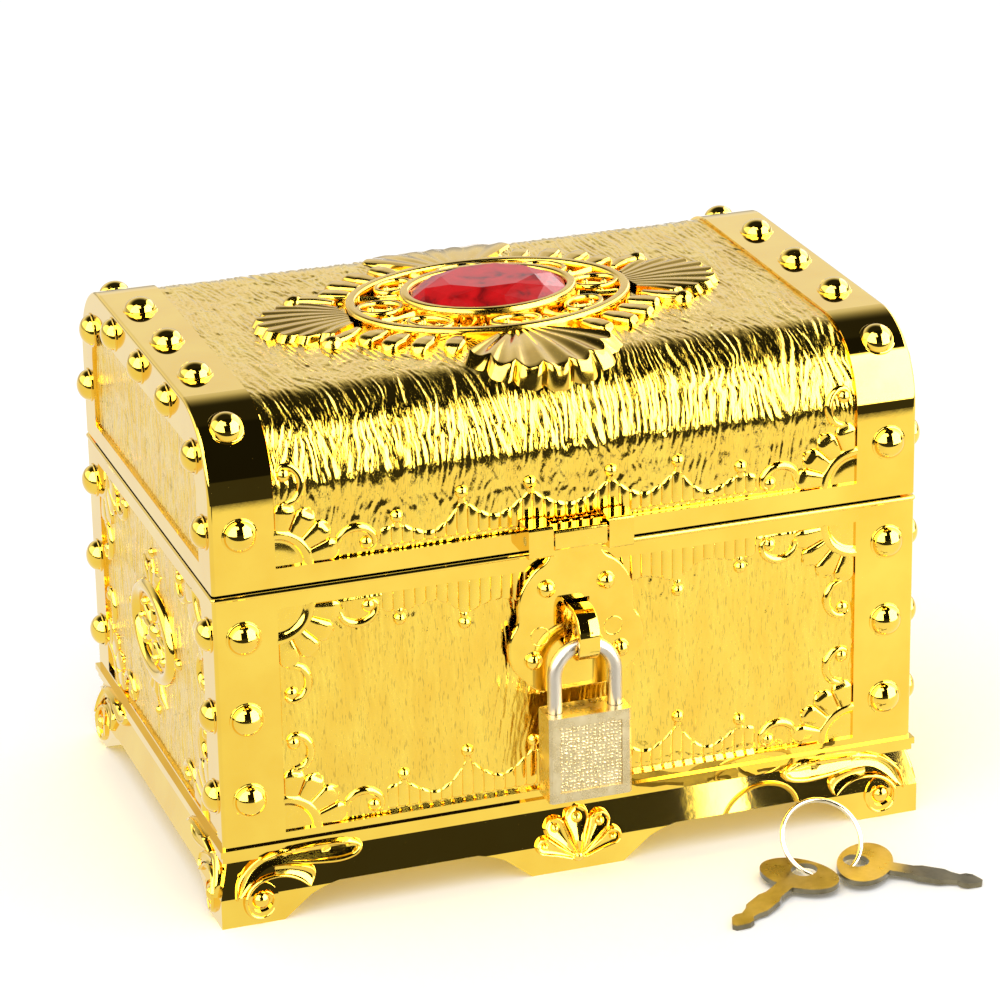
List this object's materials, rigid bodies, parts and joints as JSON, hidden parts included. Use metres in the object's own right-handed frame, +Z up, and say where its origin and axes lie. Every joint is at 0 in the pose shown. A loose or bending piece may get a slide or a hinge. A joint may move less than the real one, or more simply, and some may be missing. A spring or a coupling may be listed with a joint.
{
  "type": "treasure chest box",
  "caption": "Gold treasure chest box with a hinged domed lid, jewelled medallion, domed studs, bracket-footed base, and a hasp on a staple held by a small padlock with loose keys.",
  "frame": {"origin": "on the floor, in the middle of the footprint of the whole set, chest and keys together; the chest's own middle is 18 mm behind it", "axes": "+X along the length to the right as seen from the front, +Y to the back where the hinges are, +Z up; the hasp faces -Y"},
  "size_m": [0.1656, 0.1534, 0.1207],
  "materials": {
    "gold_plated_plastic": "moulded plastic with a bright vacuum-plated gold mirror finish",
    "stud_gold": "polished gold plating",
    "hasp_gold": "polished gold plating on sheet metal",
    "gem_red": "clear red faceted acrylic with a foiled back",
    "padlock_brass": "pale champagne gold, fine cast texture",
    "shackle_steel": "bright plated rod",
    "key_metal": "stamped sheet, dull pale brass",
    "ring_wire": "bright wire",
    "pin_steel": "plain plated pin",
    "screw_steel": "slotted screw, plated"
  },
  "bodies": {
    "box": {"box_shell": "gold_plated_plastic", "base_plinth": "gold_plated_plastic", "base_screws": "screw_steel", "box_studs": "stud_gold", "lock_staple": "hasp_gold", "hinge_pins": "pin_steel"},
    "lid": {"lid_shell": "gold_plated_plastic", "lid_studs": "stud_gold", "lid_medallion": "gold_plated_plastic", "lid_gem": "gem_red", "hasp_ears": "hasp_gold", "hasp_pin": "pin_steel"},
    "hasp": {"hasp_plate": "hasp_gold", "hasp_studs": "stud_gold"},
    "shackle": {"padlock_shackle": "shackle_steel"},
    "padlock": {"padlock_case": "padlock_brass"},
    "plug": {"padlock_plug": "padlock_brass"},
    "latch": {"padlock_latch": "pin_steel"},
    "keys": {"key_one": "key_metal", "key_two": "key_metal", "key_ring": "ring_wire"}
  },
  "joints": [
    {"name": "lid_hinge", "type": "hinge", "parent": "box", "child": "lid", "pos_m": [0, 0.07389, 0.0765], "axis": [-1, 0, 0], "range_deg": [0, 100]},
    {"name": "hasp_hinge", "type": "hinge", "parent": "lid", "child": "hasp", "pos_m": [0, -0.03841, 0.0803], "axis": [-1, 0, 0], "range_deg": [0, 160]},
    {"name": "shackle_swing", "type": "hinge", "parent": "box", "child": "shackle", "pos_m": [0, -0.04181, 0.05611], "axis": [-1, 0, 0], "range_deg": [0, 70]},
    {"name": "padlock_slide", "type": "slide", "parent": "shackle", "child": "padlock", "axis": [0, 0, -1], "range_m": [0, 0.0075]},
    {"name": "plug_turn", "type": "hinge", "parent": "padlock", "child": "plug", "pos_m": [0, -0.04181, 0.02121], "axis": [0, 0, 1], "range_deg": [0, 90]},
    {"name": "latch_slide", "type": "slide", "parent": "padlock", "child": "latch", "axis": [1, 0, 0], "range_m": [0, 0.0012]},
    {"name": "keys_lift", "type": "slide", "parent": "box", "child": "keys", "axis": [0, 0, 1], "range_m": [0, 0.06]}
  ],
  "couplings": [
    {"joint": "hasp_hinge", "follows": "lid_hinge", "ratio": 1.6},
    {"joint": "plug_turn", "follows": "latch_slide", "rad_per_m": 1308.9}
  ]
}
